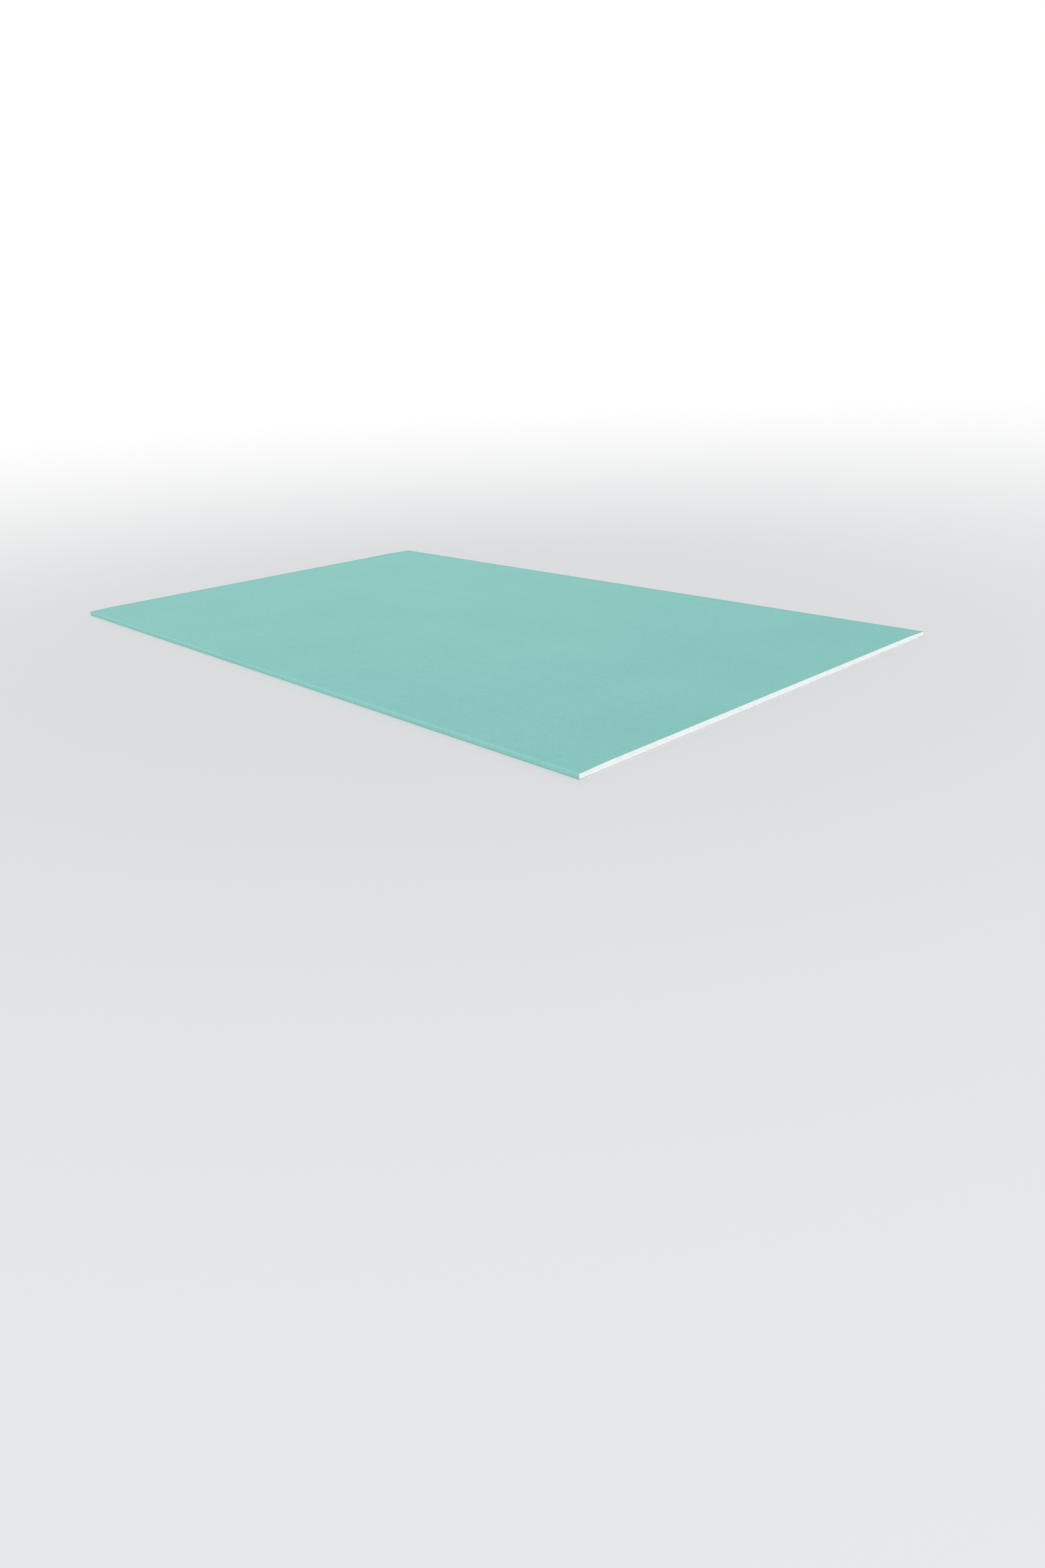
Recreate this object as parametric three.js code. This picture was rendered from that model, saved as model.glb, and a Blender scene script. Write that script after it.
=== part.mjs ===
// A sheet of moisture-resistant gypsum board with tapered long edges, lying face up.
// Millimetres, +Z up. X runs along the sheet and Y across it. The origin is under the middle
// of the sheet, on the floor that it lies on.

import * as THREE from "three";

// The sheet as it is sold.
const LENGTH = 2000;
const WIDTH = 1200;
const THICKNESS = 12.5;

// Along each long edge the face falls away, so that a taped and filled joint ends up flush.
const TAPER_WIDTH = 65;
const TAPER_DEPTH = 2;
const TAPER_BEND = 24;

// The face paper is folded round the long sides. Each fold leaves a softly rounded arris.
const FACE_FOLD = 2.2;
const BACK_FOLD = 1.4;

// On the back, the folded paper laps inwards, and the back liner is glued over its margin.
// The liner is the lowest surface, so the sheet rests on it and the laps stay just clear.
const LAP_WIDTH = 18;
const LINER_STEP = 0.35;

const BEND_SEGMENTS = 10;

const TEAL_PAPER = new THREE.Color().setRGB(0.53, 0.78, 0.75, THREE.SRGBColorSpace);

// Draws a line towards a corner and bends it there on to the line to the next corner.
// The bend touches both lines at the given distance from the corner.
function lineAndBend(path, corner, next, reach) {
  const back = path.currentPoint.clone().sub(corner).setLength(reach);
  const ahead = next.clone().sub(corner).setLength(reach);
  const start = corner.clone().add(back);
  const end = corner.clone().add(ahead);
  path.lineTo(start.x, start.y);
  path.quadraticCurveTo(corner.x, corner.y, end.x, end.y);
}

// Half of the cross-section, from the edge of the liner round one long side to the flat of the
// face. The first coordinate runs across the sheet and the second one up.
function halfSection() {
  const side = WIDTH / 2;
  const linerEdge = side - LAP_WIDTH;
  const backArris = new THREE.Vector2(side, LINER_STEP);
  const faceArris = new THREE.Vector2(side, THICKNESS - TAPER_DEPTH);
  const taperStart = new THREE.Vector2(side - TAPER_WIDTH, THICKNESS);
  const faceMiddle = new THREE.Vector2(0, THICKNESS);

  const half = new THREE.Path();
  half.moveTo(linerEdge, 0);
  half.lineTo(linerEdge, LINER_STEP);
  lineAndBend(half, backArris, faceArris, BACK_FOLD);
  lineAndBend(half, faceArris, taperStart, FACE_FOLD);
  lineAndBend(half, taperStart, faceMiddle, TAPER_BEND);
  return half.getPoints(BEND_SEGMENTS);
}

// The whole cross-section: the half and its mirror image, joined across the face and the back.
function boardSection() {
  const right = halfSection();
  const left = right.map((point) => new THREE.Vector2(-point.x, point.y)).reverse();
  return new THREE.Shape([...right, ...left]);
}

// Turns the section upright across the sheet, with the extrusion along the sheet's length.
function turnAlongLength(mesh) {
  const acrossUpAlong = new THREE.Matrix4().makeBasis(
    new THREE.Vector3(0, 1, 0),
    new THREE.Vector3(0, 0, 1),
    new THREE.Vector3(1, 0, 0),
  );
  mesh.quaternion.setFromRotationMatrix(acrossUpAlong);
  mesh.position.x = -LENGTH / 2;
}

// The sheet comes off one continuous ribbon, so its section is the same all along, and both
// short ends are square saw cuts.
function makeSheet() {
  const geometry = new THREE.ExtrudeGeometry(boardSection(), {
    depth: LENGTH,
    bevelEnabled: false,
  });
  const paper = new THREE.MeshStandardMaterial({
    color: TEAL_PAPER,
    roughness: 0.8,
    metalness: 0,
  });
  const sheet = new THREE.Mesh(geometry, paper);
  sheet.name = "drywall_sheet";
  turnAlongLength(sheet);
  return sheet;
}

const group = new THREE.Group();
group.add(makeSheet());

export default group;
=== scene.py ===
"""The looks of one drywall sheet: a moisture-resistant gypsum board that lies face up on the floor.

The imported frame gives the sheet's size. Three pieces stand for its one solid: the teal face paper
that is folded round the long sides, the gypsum core that shows at the sawn ends, and the grey
liner on the back. Everything is in metres, with X along the sheet, Y across it and Z up.
"""

import math
import random

import bmesh
import bpy
import numpy as np
from mathutils import Matrix, Vector, noise


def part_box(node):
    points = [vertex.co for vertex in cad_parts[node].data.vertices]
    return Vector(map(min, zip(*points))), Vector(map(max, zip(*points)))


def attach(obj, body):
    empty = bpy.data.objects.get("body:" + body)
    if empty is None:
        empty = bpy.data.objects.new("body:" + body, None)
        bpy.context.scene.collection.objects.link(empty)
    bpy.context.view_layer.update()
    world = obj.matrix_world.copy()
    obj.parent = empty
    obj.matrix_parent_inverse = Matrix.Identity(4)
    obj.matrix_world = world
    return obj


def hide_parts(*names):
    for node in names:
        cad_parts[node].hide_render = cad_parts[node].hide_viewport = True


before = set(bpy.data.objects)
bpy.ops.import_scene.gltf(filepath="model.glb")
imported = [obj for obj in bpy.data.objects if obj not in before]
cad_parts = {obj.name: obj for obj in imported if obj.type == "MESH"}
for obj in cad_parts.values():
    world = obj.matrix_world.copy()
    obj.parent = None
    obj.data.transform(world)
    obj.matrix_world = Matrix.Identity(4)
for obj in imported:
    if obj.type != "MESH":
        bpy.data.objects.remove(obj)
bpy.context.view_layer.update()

MM = 0.001
NODE = "drywall_sheet"
BODY = "root"

# ------------------------------------------------------------------ sizes

lowest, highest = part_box(NODE)
HALF_LENGTH = (highest.x - lowest.x) / 2
HALF_WIDTH = (highest.y - lowest.y) / 2
THICKNESS = highest.z - lowest.z

# The section of the CAD solid.
TAPER_WIDTH = 65 * MM
TAPER_DEPTH = 2 * MM
TAPER_BEND = 24 * MM
FACE_FOLD = 2.2 * MM
BACK_FOLD = 1.4 * MM
LAP_WIDTH = 18 * MM
LINER_STEP = 0.35 * MM

# What the solid leaves out: the thickness of the face paper, how far its folded margin runs in
# over the back, partly under the liner, and the hairline that keeps the pieces apart.
PAPER = 0.4 * MM
FLAP_WIDTH = 28 * MM
HAIRLINE = 0.01 * MM

# How finely the meshes are divided. A column of the core that follows another one more closely
# than the least gap is left out. Faces that meet at more than the sharp angle have an arris.
BEND_STEPS = 10
FACE_STEP = 12 * MM
TAPER_STEP = 4 * MM
FLAP_STEP = 4 * MM
SIDE_STEP = 1.5 * MM
LENGTH_STEP = 12.5 * MM
CORE_STEP = 0.75 * MM
CORE_ROWS = 17
LEAST_GAP = 0.9 * HAIRLINE
SHARP_ANGLE = math.radians(40)

# Relief, all of it cut inwards from the surface of the solid. The saw marks lean by their slant
# and wander to both sides. Crumbs are chipped off where their noise is above the chip level.
WAVE_DEPTH = 0.12 * MM
WAVE_FADE = 100 * MM
FRAY_DEPTH = 0.22 * MM
CORE_SETBACK = 0.3 * MM
SAW_PITCH = 3.2 * MM
SAW_DEPTH = 0.05 * MM
SAW_SLANT = 0.2
SAW_WANDER = 0.4 * MM
CHIP_DEPTH = 0.6 * MM
CHIP_REACH = 0.7 * MM
CHIP_LEVEL = 0.25

# How many times in a metre the noise of that relief swells: along and across the face, and
# across and up the ends.
BROAD_WAVES = (2.6, 4.1)
NARROW_WAVES = (9.0, 13.0)
COARSE_FRAYS = (90, 90)
FINE_FRAYS = (700, 700)
UNEVEN_PATCHES = (45, 200)
SAW_WANDERINGS = (30, 90)
CRUMBS = (160, 60)

# The two ends, towards -X and +X, with the number that starts each one's draws of bubbles.
END_SEEDS = {-1: 4, 1: 6}

# Large air bubbles that the saw has opened at each end. Each one is part of a flattened ball,
# which is a little larger than the opening. The faces in and round it are divided finely.
BUBBLES = 60
SMALL_BUBBLE = 0.6 * MM
LARGE_BUBBLE = 1.5 * MM
MOST_FLATTENED = 1.4
BALL_TO_OPENING = 1.08
BUBBLE_MARGIN = 1.1 * MM
FINE_MARGIN = 0.6 * MM
FINE_CUTS = 3

# ------------------------------------------------------------------ colours


def srgb(red, green, blue):
    """A colour given in sRGB from 0 to 255, as the linear RGBA that a shader takes."""

    def channel(value):
        share = value / 255
        return share / 12.92 if share <= 0.04045 else ((share + 0.055) / 1.055) ** 2.4

    return (channel(red), channel(green), channel(blue), 1.0)


FACE_DEEP = srgb(124, 195, 186)
FACE_PALE = srgb(144, 210, 202)
FACE_FLECK = srgb(184, 226, 220)
FACE_SPECK = srgb(98, 168, 161)
# Painted light: the long sides are the same paper as the face, but get a lighter teal of their own.
SIDE_DEEP_PAINTED_LIGHT = srgb(135, 203, 194)
SIDE_PALE_PAINTED_LIGHT = srgb(153, 217, 208)
# Scuffed paper and a painted highlight along the folds.
FOLD_SCUFF_AND_HIGHLIGHT = srgb(180, 226, 219)
PLY_PALE = srgb(212, 216, 208)
PLY_DARK = srgb(168, 178, 170)
GYPSUM_PALE = srgb(243, 247, 245)
GYPSUM_SHADE = srgb(235, 240, 238)
# The painted shade inside the pores and the opened bubbles.
GYPSUM_PORE_PAINTED_SHADE = srgb(202, 209, 205)
LINER_PALE = srgb(200, 195, 183)
LINER_DARK = srgb(176, 171, 158)
LINER_FLECK = srgb(120, 116, 108)
FLOOR_COLOUR = srgb(233, 234, 235)


# ------------------------------------------------------------------ the section


def bend(before, corner, after, reach):
    """Points of the curve that rounds a corner, touching both lines at that distance from it."""
    before, corner, after = (np.array(point, float) for point in (before, corner, after))
    start = corner + (before - corner) * reach / np.linalg.norm(before - corner)
    end = corner + (after - corner) * reach / np.linalg.norm(after - corner)
    shares = [step / BEND_STEPS for step in range(BEND_STEPS + 1)]
    return [(1 - t) ** 2 * start + 2 * t * (1 - t) * corner + t**2 * end for t in shares]


def between(start, end, step):
    """Points on a line between two ends, without the ends, at most one step apart."""
    start, end = np.array(start, float), np.array(end, float)
    count = max(1, math.ceil(np.linalg.norm(end - start) / step))
    return [start + (end - start) * i / count for i in range(1, count)]


BACK_ARRIS = (HALF_WIDTH, LINER_STEP)
FACE_ARRIS = (HALF_WIDTH, THICKNESS - TAPER_DEPTH)
FLAP_END = (HALF_WIDTH - FLAP_WIDTH, LINER_STEP)


def half_outline():
    """Half of the face paper's outside, as (y, z) points: from the end of its folded margin
    under the liner, out round the long side, and in to the middle of the face."""
    taper_start = (HALF_WIDTH - TAPER_WIDTH, THICKNESS)
    middle = (0.0, THICKNESS)
    back_fold = bend(FLAP_END, BACK_ARRIS, FACE_ARRIS, BACK_FOLD)
    face_fold = bend(BACK_ARRIS, FACE_ARRIS, taper_start, FACE_FOLD)
    taper_bend = bend(FACE_ARRIS, taper_start, middle, TAPER_BEND)
    return np.array(
        [np.array(FLAP_END)]
        + between(FLAP_END, back_fold[0], FLAP_STEP)
        + back_fold
        + between(back_fold[-1], face_fold[0], SIDE_STEP)
        + face_fold
        + between(face_fold[-1], taper_bend[0], TAPER_STEP)
        + taper_bend
        + between(taper_bend[-1], middle, FACE_STEP)
        + [np.array(middle)]
    )


def inset(points, depth):
    """The same line of points, moved inwards by that depth."""
    along = np.gradient(points, axis=0)
    along /= np.linalg.norm(along, axis=1)[:, None]
    inwards = np.stack([-along[:, 1], along[:, 0]], axis=1)
    return points + inwards * depth


def mirrored(half):
    """The whole line, from the +Y side to the -Y side, of a half that ends in the middle."""
    return np.concatenate([half, half[-2::-1] * (-1, 1)])


# ------------------------------------------------------------------ mesh helpers


def closed_body(points, faces):
    """A closed body, as a bmesh to work on, with its faces turned outwards."""
    work = bmesh.new()
    corners = [work.verts.new(tuple(point)) for point in points]
    for face in faces:
        work.faces.new([corners[number] for number in face])
    bmesh.ops.recalc_face_normals(work, faces=work.faces)
    return work


def new_piece(name, work, materials):
    """The mesh object of a finished body, with its arrises kept sharp."""
    mesh = bpy.data.meshes.new(name)
    work.to_mesh(mesh)
    work.free()
    for material in materials:
        mesh.materials.append(material)
    mesh.shade_smooth()
    mesh.set_sharp_from_angle(angle=SHARP_ANGLE)
    piece = bpy.data.objects.new(name, mesh)
    bpy.context.scene.collection.objects.link(piece)
    return piece


def give_weights(piece, name, weights):
    """Stores a number for each point of the piece, for its material to read."""
    attribute = piece.data.attributes.new(name, "FLOAT", "POINT")
    attribute.data.foreach_set("value", np.asarray(weights, np.float32))


def swells(first, second, rates, layer):
    """Smooth noise from -1 to 1 at a place, swelling at one rate each way. Every layer number
    has a pattern of its own."""
    return noise.noise(Vector((first * rates[0], second * rates[1], layer)))


# ------------------------------------------------------------------ the papers


def fray(y, z, end):
    """How far the cut edge of a paper stops short of the solid's end."""
    coarse = abs(swells(y, z, COARSE_FRAYS, end * 7.3))
    fine = abs(swells(y, z, FINE_FRAYS, end * 3.1))
    return FRAY_DEPTH * (0.25 + 0.35 * coarse + 0.4 * fine)


def wave(x, y):
    """The faint waviness of the face, as a height from -WAVE_DEPTH to 0."""
    broad = swells(x, y, BROAD_WAVES, 0.4)
    narrow = swells(x, y, NARROW_WAVES, 5.2)
    return WAVE_DEPTH * min(0.0, max(-1.0, -0.5 + 0.8 * broad + 0.45 * narrow))


def paper_points(ring, weights, count):
    """The ring at the start of the sheet and after each of the steps along it. The first and
    the last ring are frayed, and each point of the face waves by its weight."""
    points = []
    for number in range(count + 1):
        x = -HALF_LENGTH + 2 * HALF_LENGTH * number / count
        end = {0: -1, count: 1}.get(number, 0)
        for (y, z), weight in zip(ring, weights):
            short = end * fray(y, z, end) if end else 0.0
            rise = weight * wave(x, y) if weight else 0.0
            points.append((x - short, y, z + rise))
    return points


def paper_faces(across, count):
    """The faces of a paper, and which of them are its inner side or a cut edge."""
    size = 2 * across
    faces, is_cut = [], []
    for first in range(0, count * size, size):
        for i in range(size):
            j = (i + 1) % size
            faces.append((first + i, first + j, first + size + j, first + size + i))
            is_cut.append(i >= across - 1)
    for first in (0, count * size):
        for i in range(across - 1):
            faces.append((first + i, first + i + 1, first + size - 2 - i, first + size - 1 - i))
            is_cut.append(True)
    return faces, is_cut


def make_paper(name, outside, inside, waviness, materials):
    """A strip of paper swept along the sheet. Both lines run across it, point for point. Gives
    the piece, the ring of points round the paper and the number of rings."""
    across = len(outside)
    ring = np.concatenate([outside, inside[::-1]])
    weights = np.concatenate([waviness, np.zeros(across)])
    count = round(2 * HALF_LENGTH / LENGTH_STEP)
    faces, is_cut = paper_faces(across, count)
    body = closed_body(paper_points(ring, weights, count), faces)
    piece = new_piece(name, body, materials)
    piece.data.polygons.foreach_set("material_index", is_cut)

    # For the plies in the cut edges: how far round the paper a point lies, and 1 on the outside.
    steps = np.linalg.norm(np.diff(outside, axis=0), axis=1)
    along = np.concatenate([[0.0], np.cumsum(steps)])
    give_weights(piece, "along", np.tile(np.concatenate([along, along[::-1]]), count + 1))
    give_weights(piece, "ply", np.tile(np.repeat((1.0, 0.0), across), count + 1))
    return piece, ring, count + 1


def make_face_paper(materials):
    """The teal paper, which waves only on the flat of the face, less and less towards the
    tapers."""
    half = half_outline()
    outside = mirrored(half)
    inside = mirrored(inset(half, PAPER))
    from_taper = HALF_WIDTH - TAPER_WIDTH - abs(outside[:, 0])
    waviness = np.clip(from_taper / WAVE_FADE, 0, 1)
    piece, ring, rings = make_paper("face_paper", outside, inside, waviness, materials)

    # How much a point belongs to the long sides, and how much to the line of a fold.
    y, z = abs(ring[:, 0]), ring[:, 1]
    side = np.clip((FACE_ARRIS[1] - z) / FACE_FOLD, 0, 1)
    fold = np.exp(-(np.hypot(y - FACE_ARRIS[0], z - FACE_ARRIS[1]) / FACE_FOLD) ** 2)
    fold += np.exp(-(np.hypot(y - BACK_ARRIS[0], z - BACK_ARRIS[1]) / BACK_FOLD) ** 2)
    give_weights(piece, "side", np.tile(side, rings))
    give_weights(piece, "fold", np.tile(fold, rings))
    return piece


def make_back_liner(materials):
    """The grey liner, a flat strip whose upper side stays clear of the flaps by a hairline."""
    edge = HALF_WIDTH - LAP_WIDTH
    below = np.array([(edge, 0.0), *between((edge, 0), (-edge, 0), FACE_STEP), (-edge, 0.0)])
    above = below + (0, LINER_STEP - HAIRLINE)
    return make_paper("back_liner", below, above, np.zeros(len(below)), materials)[0]


# ------------------------------------------------------------------ the core


def core_columns():
    """Places across the core with its lowest and highest point there: arrays y, bottom, top."""
    half = inset(half_outline(), PAPER + HAIRLINE)
    side = half[:, 0].max()
    is_low = half[:, 1] < THICKNESS / 2
    under, over = half[is_low], half[~is_low][::-1]

    # Even steps out to the flap and on to the side, and there the section's own points as well.
    flap = FLAP_END[0] - HAIRLINE
    count = math.ceil(flap / CORE_STEP)
    near_side = np.concatenate([under[:, 0], over[over[:, 0] > flap, 0]])
    steps = np.arange(flap + HAIRLINE, side, CORE_STEP)
    y = np.concatenate([np.linspace(0, flap, count), steps, near_side, [side]])
    y = np.unique(np.round(y[y <= side], 6))
    y = y[np.diff(y, prepend=-1.0) > LEAST_GAP]

    # The bottom lies just above the liner out to the flap, and above the folded paper beyond it.
    bottom = np.interp(y, under[:, 0], under[:, 1])
    bottom[y <= flap] = LINER_STEP + HAIRLINE
    top = np.interp(y, over[:, 0], over[:, 1])
    whole = [np.concatenate([-y[:0:-1], y])]
    whole += [np.concatenate([values[:0:-1], values]) for values in (bottom, top)]
    return whole


def opened_bubbles(columns, seed):
    """The large air bubbles that the saw has opened: for each its y, its z, its radius and how
    much it is flattened."""
    y, bottom, top = columns
    draw = random.Random(seed)
    bubbles = []
    for _ in range(BUBBLES):
        radius = SMALL_BUBBLE + (LARGE_BUBBLE - SMALL_BUBBLE) * draw.random() ** 2
        reach = radius + BUBBLE_MARGIN
        place = draw.uniform(y[0] + reach, y[-1] - reach)
        floor = np.interp(place, y, bottom) + reach
        ceiling = np.interp(place, y, top) - reach
        height = draw.uniform(floor, ceiling)
        flatness = draw.uniform(1.0, MOST_FLATTENED)
        bubbles.append((place, height, radius, flatness))
    return bubbles


def hollow_depths(y, z, bubbles):
    """How deep each place lies inside an opened bubble, and 0 outside them."""
    depths = np.zeros(len(y))
    for place, height, radius, flatness in bubbles:
        ball = BALL_TO_OPENING * radius
        sunk = math.sqrt(ball**2 - radius**2)
        square = (y - place) ** 2 + (flatness * (z - height)) ** 2
        depths = np.maximum(depths, np.sqrt(np.maximum(ball**2 - square, sunk**2)) - sunk)
    return depths


def chip(y, z, end, bottom, top):
    """How much of a crumb has broken off beside the paper, as a share of CHIP_DEPTH."""
    near = math.exp(-min(z - bottom, top - z) / CHIP_REACH)
    crumb = swells(y, z, CRUMBS, end * 9.1)
    return near * max(0.0, crumb - CHIP_LEVEL)


def sawn_depth(y, z, end, bottom, top):
    """How far the sawn face of the core lies inside the solid's end."""
    uneven = swells(y, z, UNEVEN_PATCHES, end * 5.7)
    shift = SAW_SLANT * z + SAW_WANDER * swells(y, z, SAW_WANDERINGS, end)
    saw = 0.5 + 0.5 * math.sin(2 * math.pi * (y + shift) / SAW_PITCH)
    depth = CORE_SETBACK * (0.7 + 0.3 * uneven) + SAW_DEPTH * saw
    return depth + CHIP_DEPTH * chip(y, z, end, bottom, top)


def core_block(columns):
    """The core with plain ends, each of them a grid of small faces, and long faces between
    them."""
    count, rows = len(columns[0]), CORE_ROWS + 1
    points = []
    for end in (-1, 1):
        for place, under, over in zip(*columns):
            for z in np.linspace(under, over, rows):
                points.append((end * HALF_LENGTH, place, z))

    def at(end, column, row):
        """The number of a point, with the ends numbered 0 and 1."""
        return (end * count + column) * rows + row

    faces = []
    for end in (0, 1):
        for c in range(count - 1):
            for r in range(CORE_ROWS):
                near = (at(end, c, r), at(end, c + 1, r))
                faces.append((*near, at(end, c + 1, r + 1), at(end, c, r + 1)))
    for row in (0, CORE_ROWS):
        for c in range(count - 1):
            faces.append((at(0, c, row), at(0, c + 1, row), at(1, c + 1, row), at(1, c, row)))
    for column in (0, count - 1):
        for r in range(CORE_ROWS):
            near = (at(0, column, r), at(0, column, r + 1))
            faces.append((*near, at(1, column, r + 1), at(1, column, r)))
    return closed_body(points, faces)


def divide_near(work, end, bubbles):
    """Divides the faces of one end more finely where a bubble opens. The faces beside those end
    up with extra corners, so they are divided from their middles."""

    def is_near(face):
        x, y, z = face.calc_center_median()
        at_end = x * end > HALF_LENGTH - HAIRLINE
        return at_end and any(
            math.hypot(y - place, z - height) < radius + FINE_MARGIN
            for place, height, radius, _ in bubbles
        )

    work.edges.index_update()
    edges = {edge for face in work.faces if is_near(face) for edge in face.edges}
    edges = sorted(edges, key=lambda edge: edge.index)
    bmesh.ops.subdivide_edges(work, edges=edges, cuts=FINE_CUTS, use_grid_fill=True)
    many_sided = [face for face in work.faces if len(face.verts) > 4]
    bmesh.ops.poke(work, faces=many_sided)


def make_core(materials):
    """The gypsum core, with sawn ends. Its block is divided first, and its ends are then cut
    back point by point."""
    columns = core_columns()
    work = core_block(columns)
    bubbles = {end: opened_bubbles(columns, seed) for end, seed in END_SEEDS.items()}
    for end, opened in bubbles.items():
        divide_near(work, end, opened)

    places = np.array([vertex.co for vertex in work.verts])
    hollows = np.zeros(len(places))
    for end, opened in bubbles.items():
        here = places[:, 0] * end > 0
        hollows[here] = hollow_depths(places[here, 1], places[here, 2], opened)
    bottoms = np.interp(places[:, 1], columns[0], columns[1])
    tops = np.interp(places[:, 1], columns[0], columns[2])
    for vertex, hollow, bottom, top in zip(work.verts, hollows, bottoms, tops):
        x, y, z = vertex.co
        end = math.copysign(1, x)
        vertex.co.x = end * (HALF_LENGTH - sawn_depth(y, z, end, bottom, top) - hollow)

    piece = new_piece("gypsum_core", work, materials)
    give_weights(piece, "hollow", hollows)
    return piece


# ------------------------------------------------------------------ materials

# Noise stays near 0.5, and a weighted sum of noises nearer still. These ranges of them are spread
# over two colours. Only the peaks of a drawn-out noise are high enough to be single fibres.
NOISE_RANGE = (0.3, 0.7)
SHADE_RANGE = (0.38, 0.62)
STRAND_RANGE = (0.7, 0.78)

# How many times in a metre the plies' noise swells round the paper and along the sheet, and how
# many times through the paper.
PLY_ROUND = 420.0
PLY_LENGTHWISE = 60.0
PLY_THROUGH = 5.0

# Where the outer ply begins, softly between these shares of the paper's thickness.
OUTER_PLY = (0.78, 0.86)

# The ragged rims of the small pores: how many times finer than the pores' cells their noise is,
# and how ragged and how soft they are, as shares of a cell.
RIM_FINENESS = 3.3
RIM_RAGGEDNESS = 0.3
RIM_SOFTNESS = 0.14

# The painted shade in a bubble that the saw has opened is darkest from this depth on.
DEEPEST_PAINTED_SHADE = 0.45 * MM

# How many times longer than wide the drawn-out textures are.
FIBRE_STRETCH = 3.5
STRAND_STRETCH = 8.0
MACHINE_STRETCH = 80.0
SCORE_STRETCH = 250.0

# How high the finest relief is, which is in the materials only.
FACE_RELIEF = 0.06 * MM
PLY_RELIEF = 0.05 * MM
GYPSUM_RELIEF = 0.1 * MM
LINER_RELIEF = 0.08 * MM


class Shader:
    """A material's node tree, with short ways to add and join its nodes. Where a way takes a
    value, it can be a number or colour, or another node's output."""

    def __init__(self, name):
        self.material = bpy.data.materials.new(name)
        self.material.use_nodes = True
        self.tree = self.material.node_tree
        self.surface = self.tree.nodes["Principled BSDF"]
        self.place = self.add("ShaderNodeTexCoord").outputs["Object"]

    def feed(self, socket, value):
        """Links an output to the socket, or sets the socket itself to a number or colour."""
        if isinstance(value, bpy.types.NodeSocket):
            self.tree.links.new(value, socket)
        else:
            socket.default_value = value

    def add(self, kind, inputs=(), **settings):
        """A new node, with its settings and with the values of its inputs."""
        node = self.tree.nodes.new(kind)
        for key, value in settings.items():
            setattr(node, key, value)
        for key, value in dict(inputs).items():
            self.feed(node.inputs[key], value)
        return node

    def stretched(self, length, degrees=0.0):
        """The place, for a texture that is drawn out by that much, turned from X by that angle."""
        inputs = {
            "Vector": self.place,
            "Rotation": (0, 0, math.radians(degrees)),
            "Scale": (length, 1, 1),
        }
        return self.add("ShaderNodeMapping", inputs, vector_type="TEXTURE").outputs[0]

    def noise(self, scale, detail=3.0, place=None):
        """Smooth noise round 0.5, which swells that many times in each unit of the place."""
        inputs = {"Vector": place or self.place, "Scale": scale, "Detail": detail}
        return self.add("ShaderNodeTexNoise", inputs).outputs["Fac"]

    def math(self, operation, first, second):
        """What one operation makes of two values."""
        return self.add("ShaderNodeMath", {0: first, 1: second}, operation=operation).outputs[0]

    def mean(self, first, second):
        """The value halfway between two."""
        return self.math("MULTIPLY", self.math("ADD", first, second), 0.5)

    def weighted(self, *parts):
        """The sum of some values, each times its share."""
        total = 0.0
        for value, share in parts:
            total = self.math("ADD", total, self.math("MULTIPLY", value, share))
        return total

    def ranged(self, value, low, high, to_low=0.0, to_high=1.0, kind="LINEAR"):
        """The value, with the range from low to high turned into the other one, and held
        inside that."""
        inputs = {"Value": value, 1: low, 2: high, 3: to_low, 4: to_high}
        return self.add("ShaderNodeMapRange", inputs, interpolation_type=kind).outputs[0]

    def mixed(self, share, first, second):
        """The first colour where the share is 0, and the second one where it is 1."""
        inputs = {0: share, 6: first, 7: second}
        return self.add("ShaderNodeMix", inputs, data_type="RGBA").outputs[2]

    def tinted(self, colour, tint, where, strength):
        """The colour, turned towards the tint by that strength where the value is 1."""
        return self.mixed(self.math("MULTIPLY", where, strength), colour, tint)

    def weight(self, name):
        """A number that the mesh stores for each of its points."""
        return self.add("ShaderNodeAttribute", attribute_name=name).outputs["Fac"]

    def bump(self, height, distance):
        """Relief that is as high as the distance where the height changes by 1."""
        inputs = {"Height": height, "Distance": distance, "Strength": 1.0}
        normal = self.add("ShaderNodeBump", inputs).outputs["Normal"]
        self.feed(self.surface.inputs["Normal"], normal)

    def finish(self, colour, roughness, specular):
        """Sets the surface's own values, and gives the material."""
        self.feed(self.surface.inputs["Base Color"], colour)
        self.feed(self.surface.inputs["Roughness"], roughness)
        self.feed(self.surface.inputs["Specular IOR Level"], specular)
        return self.material


def felt(shader, scale):
    """Crossed paper fibres that lean along the sheet, as a height round 0.5."""
    leaning = shader.noise(scale, place=shader.stretched(FIBRE_STRETCH, degrees=26))
    crossing = shader.noise(scale, place=shader.stretched(FIBRE_STRETCH, degrees=-21))
    return shader.mean(leaning, crossing)


def strands(shader, scale, angles):
    """1 on a few single fibres, lying at those angles, and 0 elsewhere."""
    found = 0.0
    for angle in angles:
        strand = shader.noise(scale, detail=1.0, place=shader.stretched(STRAND_STRETCH, angle))
        found = shader.math("MAXIMUM", found, shader.ranged(strand, *STRAND_RANGE))
    return found


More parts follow.
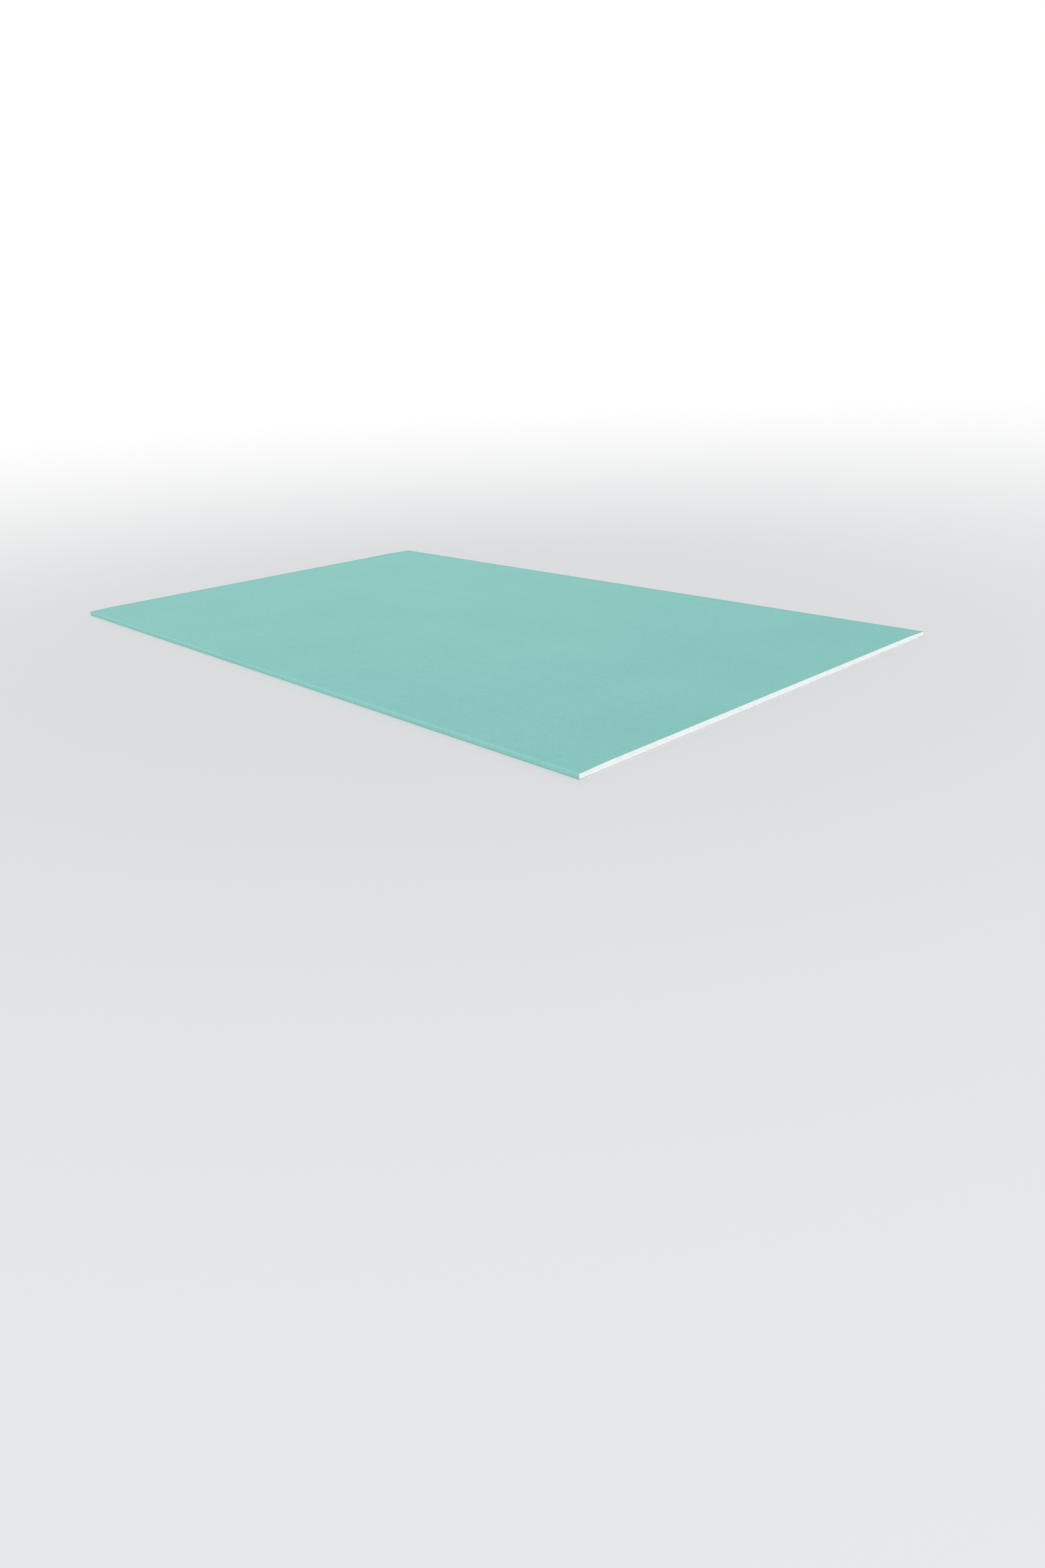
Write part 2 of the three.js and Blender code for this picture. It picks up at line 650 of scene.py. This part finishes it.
def face_paper_material():
    """Matt teal paper: crossed fibres, a faint mottle, faint lines along the sheet, and a few
    pale and dark strands. The folds are slightly lighter, partly scuffed paper and partly a
    painted highlight. The long sides are scored, and are painted a lighter teal than the face
    as painted light."""
    shader = Shader("teal_face_paper")
    fibres = felt(shader, scale=1100)
    mottle = shader.noise(scale=130)
    cloud = shader.noise(scale=3.5, detail=1.0)
    lengthwise = shader.stretched(MACHINE_STRETCH)
    machine_lines = shader.noise(scale=90, detail=2.0, place=lengthwise)
    side, fold = shader.weight("side"), shader.weight("fold")

    shade = shader.weighted((fibres, 0.64), (mottle, 0.17), (cloud, 0.1), (machine_lines, 0.09))
    share = shader.ranged(shade, *SHADE_RANGE)
    on_face = shader.mixed(share, FACE_DEEP, FACE_PALE)
    # Painted light: the long sides take their own lighter teal instead of the face's.
    on_side_painted_light = shader.mixed(share, SIDE_DEEP_PAINTED_LIGHT, SIDE_PALE_PAINTED_LIGHT)
    colour = shader.mixed(side, on_face, on_side_painted_light)
    pale = strands(shader, scale=2300, angles=(12, -38, 61))
    colour = shader.tinted(colour, FACE_FLECK, pale, strength=0.6)
    dark = strands(shader, scale=2700, angles=(-9, 44, -70))
    colour = shader.tinted(colour, FACE_SPECK, dark, strength=0.45)
    # Along each fold, a lighter line that is partly scuffed paper and partly a painted highlight.
    wear_and_highlight = shader.ranged(mottle, 0.35, 0.65, to_low=0.24, to_high=0.42)
    colour = shader.tinted(colour, FOLD_SCUFF_AND_HIGHLIGHT, fold, strength=wear_and_highlight)

    score_lines = shader.noise(scale=1300, detail=1.0, place=shader.stretched(SCORE_STRETCH))
    height = shader.math("ADD", fibres, shader.math("MULTIPLY", mottle, 0.8))
    height = shader.math("ADD", height, shader.math("MULTIPLY", side, score_lines))
    shader.bump(height, FACE_RELIEF)
    roughness = shader.ranged(fibres, *NOISE_RANGE, to_low=0.7, to_high=0.85)
    return shader.finish(colour, roughness, specular=0.3)


def cut_edge_material(name, outer_ply):
    """The cut edge and the inner side of a paper: plies that follow it round, the outer one
    in the colour of its outside."""
    shader = Shader(name)
    ply, along = shader.weight("ply"), shader.weight("along")
    x = shader.add("ShaderNodeSeparateXYZ", {0: shader.place}).outputs["X"]
    layered = {
        "X": shader.math("MULTIPLY", ply, PLY_THROUGH),
        "Y": shader.math("MULTIPLY", along, PLY_ROUND),
        "Z": shader.math("MULTIPLY", x, PLY_LENGTHWISE),
    }
    place = shader.add("ShaderNodeCombineXYZ", layered).outputs[0]
    layers = shader.noise(scale=1.0, place=place)
    colour = shader.mixed(shader.ranged(layers, *NOISE_RANGE), PLY_DARK, PLY_PALE)
    ragged = shader.math("ADD", ply, shader.math("MULTIPLY", layers, 0.3))
    colour = shader.mixed(shader.ranged(ragged, *OUTER_PLY), colour, outer_ply)
    shader.bump(layers, PLY_RELIEF)
    return shader.finish(colour, roughness=0.9, specular=0.2)


def pores(shader, scale, largest):
    """1 inside small air bubbles with ragged rims, in cells of 1 / scale metres. Chance gives
    each cell's bubble its radius, up to the largest one, which is a share of the cell."""
    cells = shader.add("ShaderNodeTexVoronoi", {"Vector": shader.place, "Scale": scale})
    chance = shader.add("ShaderNodeSeparateColor", {0: cells.outputs["Color"]}).outputs[0]
    rim = shader.noise(RIM_FINENESS * scale, detail=1.0)
    ragged = shader.math("MULTIPLY", rim, RIM_RAGGEDNESS)
    distance = shader.math("ADD", cells.outputs["Distance"], ragged)
    radius = shader.ranged(chance, 0.4, 1.0, to_low=0.1, to_high=largest)
    return shader.ranged(shader.math("SUBTRACT", radius, distance), 0.0, RIM_SOFTNESS)


def gypsum_material():
    """Sawn gypsum: off-white and chalky, with two sizes of fine pores that get a little painted
    shade. The large bubbles are hollows of the mesh, with painted shade that darkens with depth."""
    shader = Shader("sawn_gypsum")
    blotch = shader.noise(scale=38)
    lumps = shader.noise(scale=420)
    grains = shader.noise(scale=2800)
    grit = shader.mean(lumps, grains)
    shade = shader.mean(blotch, grit)
    colour = shader.mixed(shader.ranged(shade, 0.4, 0.58), GYPSUM_SHADE, GYPSUM_PALE)

    small_bubbles = pores(shader, scale=1000, largest=0.52)
    pinholes = shader.math("MULTIPLY", pores(shader, scale=2900, largest=0.6), 0.6)
    open_pores = shader.math("MAXIMUM", small_bubbles, pinholes)
    # Painted shade in the small pores.
    colour = shader.tinted(colour, GYPSUM_PORE_PAINTED_SHADE, open_pores, strength=0.7)
    # Painted shade in the large bubbles, darker the deeper a place lies.
    depth = shader.weight("hollow")
    inside = shader.ranged(depth, 0.0, DEEPEST_PAINTED_SHADE, to_high=0.9)
    colour = shader.mixed(inside, colour, GYPSUM_PORE_PAINTED_SHADE)
    height = shader.math("SUBTRACT", shader.math("MULTIPLY", grit, 2.2), open_pores)
    shader.bump(height, GYPSUM_RELIEF)
    return shader.finish(colour, roughness=0.95, specular=0.15)


def liner_material():
    """Grey-cream recycled paper with crossed fibres and dark strands."""
    shader = Shader("grey_back_liner")
    fibres = felt(shader, scale=900)
    mottle = shader.noise(scale=95)
    shade = shader.weighted((fibres, 0.75), (mottle, 0.25))
    colour = shader.mixed(shader.ranged(shade, *SHADE_RANGE), LINER_DARK, LINER_PALE)
    dark = strands(shader, scale=2000, angles=(8, -33, 55))
    colour = shader.tinted(colour, LINER_FLECK, dark, strength=0.6)
    shader.bump(fibres, LINER_RELIEF)
    return shader.finish(colour, roughness=0.85, specular=0.25)


# ------------------------------------------------------------------ the stage

# The floor lies just below the sheet, so that the two surfaces never coincide. It fades to the
# background between these distances from the sheet's middle.
FLOOR_REACH = 60.0
FLOOR_DROP = 0.2 * MM
FADE_START = 0.9
FADE_END = 12.0


def shows_backdrop(tree):
    """1 for the rays that show the backdrop: the camera's, and those from metal and glass."""
    path = tree.nodes.new("ShaderNodeLightPath")
    share = path.outputs["Is Camera Ray"]
    for kind in ("Is Glossy Ray", "Is Transmission Ray"):
        larger = tree.nodes.new("ShaderNodeMath")
        larger.operation = "MAXIMUM"
        tree.links.new(share, larger.inputs[0])
        tree.links.new(path.outputs[kind], larger.inputs[1])
        share = larger.outputs[0]
    return share


def floor_material():
    """A pale matt floor that fades to the white background away from the sheet."""
    shader = Shader("pale_floor")
    length = shader.add("ShaderNodeVectorMath", {0: shader.place}, operation="LENGTH")
    distance = shader.math("LOGARITHM", length.outputs["Value"], math.e)
    far = shader.ranged(distance, math.log(FADE_START), math.log(FADE_END), kind="SMOOTHSTEP")
    share = shader.math("MULTIPLY", far, shows_backdrop(shader.tree))
    white = shader.add("ShaderNodeEmission", {"Strength": 1.0}).outputs[0]
    lit = shader.surface.outputs[0]
    mix = shader.add("ShaderNodeMixShader", {0: share, 1: lit, 2: white})
    output = shader.tree.nodes["Material Output"]
    shader.feed(output.inputs["Surface"], mix.outputs[0])
    return shader.finish(FLOOR_COLOUR, roughness=1.0, specular=0.0)


def make_floor():
    reach = FLOOR_REACH
    corners = [(-reach, -reach), (reach, -reach), (reach, reach), (-reach, reach)]
    mesh = bpy.data.meshes.new("floor")
    mesh.from_pydata([(x, y, -FLOOR_DROP) for x, y in corners], [], [(0, 1, 2, 3)])
    mesh.materials.append(floor_material())
    floor = bpy.data.objects.new("floor", mesh)
    bpy.context.scene.collection.objects.link(floor)


# The even light from all round.
AMBIENT = 0.51
AMBIENT_COLOUR = (0.98, 0.99, 1.0, 1.0)


def make_world():
    """Even light from all round, which the camera sees as plain white."""
    world = bpy.data.worlds.new("studio")
    world.use_nodes = True
    bpy.context.scene.world = world
    tree = world.node_tree
    light = tree.nodes["Background"]
    light.inputs["Color"].default_value = AMBIENT_COLOUR
    light.inputs["Strength"].default_value = AMBIENT
    white = tree.nodes.new("ShaderNodeBackground")
    white.inputs["Color"].default_value = (1, 1, 1, 1)
    mix = tree.nodes.new("ShaderNodeMixShader")
    tree.links.new(shows_backdrop(tree), mix.inputs[0])
    tree.links.new(light.outputs[0], mix.inputs[1])
    tree.links.new(white.outputs[0], mix.inputs[2])
    tree.links.new(mix.outputs[0], tree.nodes["World Output"].inputs["Surface"])


# Two broad soft lights: a key from in front of the near corner, and a weak, low fill from
# behind. They are far enough away to be even all over, so wide suns stand for them.
# For each one: where it shines from, its strength and its width in degrees.
SOFT_LIGHTS = {
    "key": ((1.0, -0.65, 0.7), 1.75, 30),
    "fill": ((-1.0, 0.45, 0.4), 0.8, 60),
}


def make_soft_lights():
    for name, (shines_from, strength, width) in SOFT_LIGHTS.items():
        lamp = bpy.data.lights.new(name, "SUN")
        lamp.energy = strength
        lamp.angle = math.radians(width)
        holder = bpy.data.objects.new(name, lamp)
        holder.rotation_euler = Vector(shines_from).to_track_quat("Z", "Y").to_euler()
        bpy.context.scene.collection.objects.link(holder)


# The camera stands off the near corner of the sheet, a little above it. Its angles are in
# degrees, its sensor in millimetres, and its focal length in pixels of a picture of that height.
CAMERA_PLACE = Vector((2.148, -1.790, 0.674))
CAMERA_AZIMUTH = 47.3
CAMERA_PITCH = 22.3
CAMERA_ROLL = -2.63
PICTURE_HEIGHT = 2352
FOCAL_PIXELS = 1585
SENSOR = 36.0


def make_camera():
    data = bpy.data.cameras.new("camera")
    data.sensor_width = SENSOR
    data.lens = SENSOR * FOCAL_PIXELS / PICTURE_HEIGHT
    camera = bpy.data.objects.new("camera", data)
    turn = Matrix.Rotation(math.radians(CAMERA_AZIMUTH), 4, "Z")
    tilt = Matrix.Rotation(math.radians(90 - CAMERA_PITCH), 4, "X")
    roll = Matrix.Rotation(math.radians(CAMERA_ROLL), 4, "Z")
    camera.matrix_world = Matrix.Translation(CAMERA_PLACE) @ turn @ tilt @ roll
    bpy.context.scene.collection.objects.link(camera)
    bpy.context.scene.camera = camera


# ------------------------------------------------------------------ the scene

make_camera()
make_world()
make_floor()
make_soft_lights()
bpy.context.scene.view_settings.view_transform = "Standard"

teal_edge = cut_edge_material("teal_paper_cut_edge", FACE_DEEP)
grey_edge = cut_edge_material("grey_paper_cut_edge", LINER_DARK)
pieces = {
    "face_paper": make_face_paper([face_paper_material(), teal_edge]),
    "gypsum_core": make_core([gypsum_material()]),
    "back_paper": make_back_liner([liner_material(), grey_edge]),
}
for slot, piece in pieces.items():
    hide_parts(NODE)
    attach(piece, BODY)
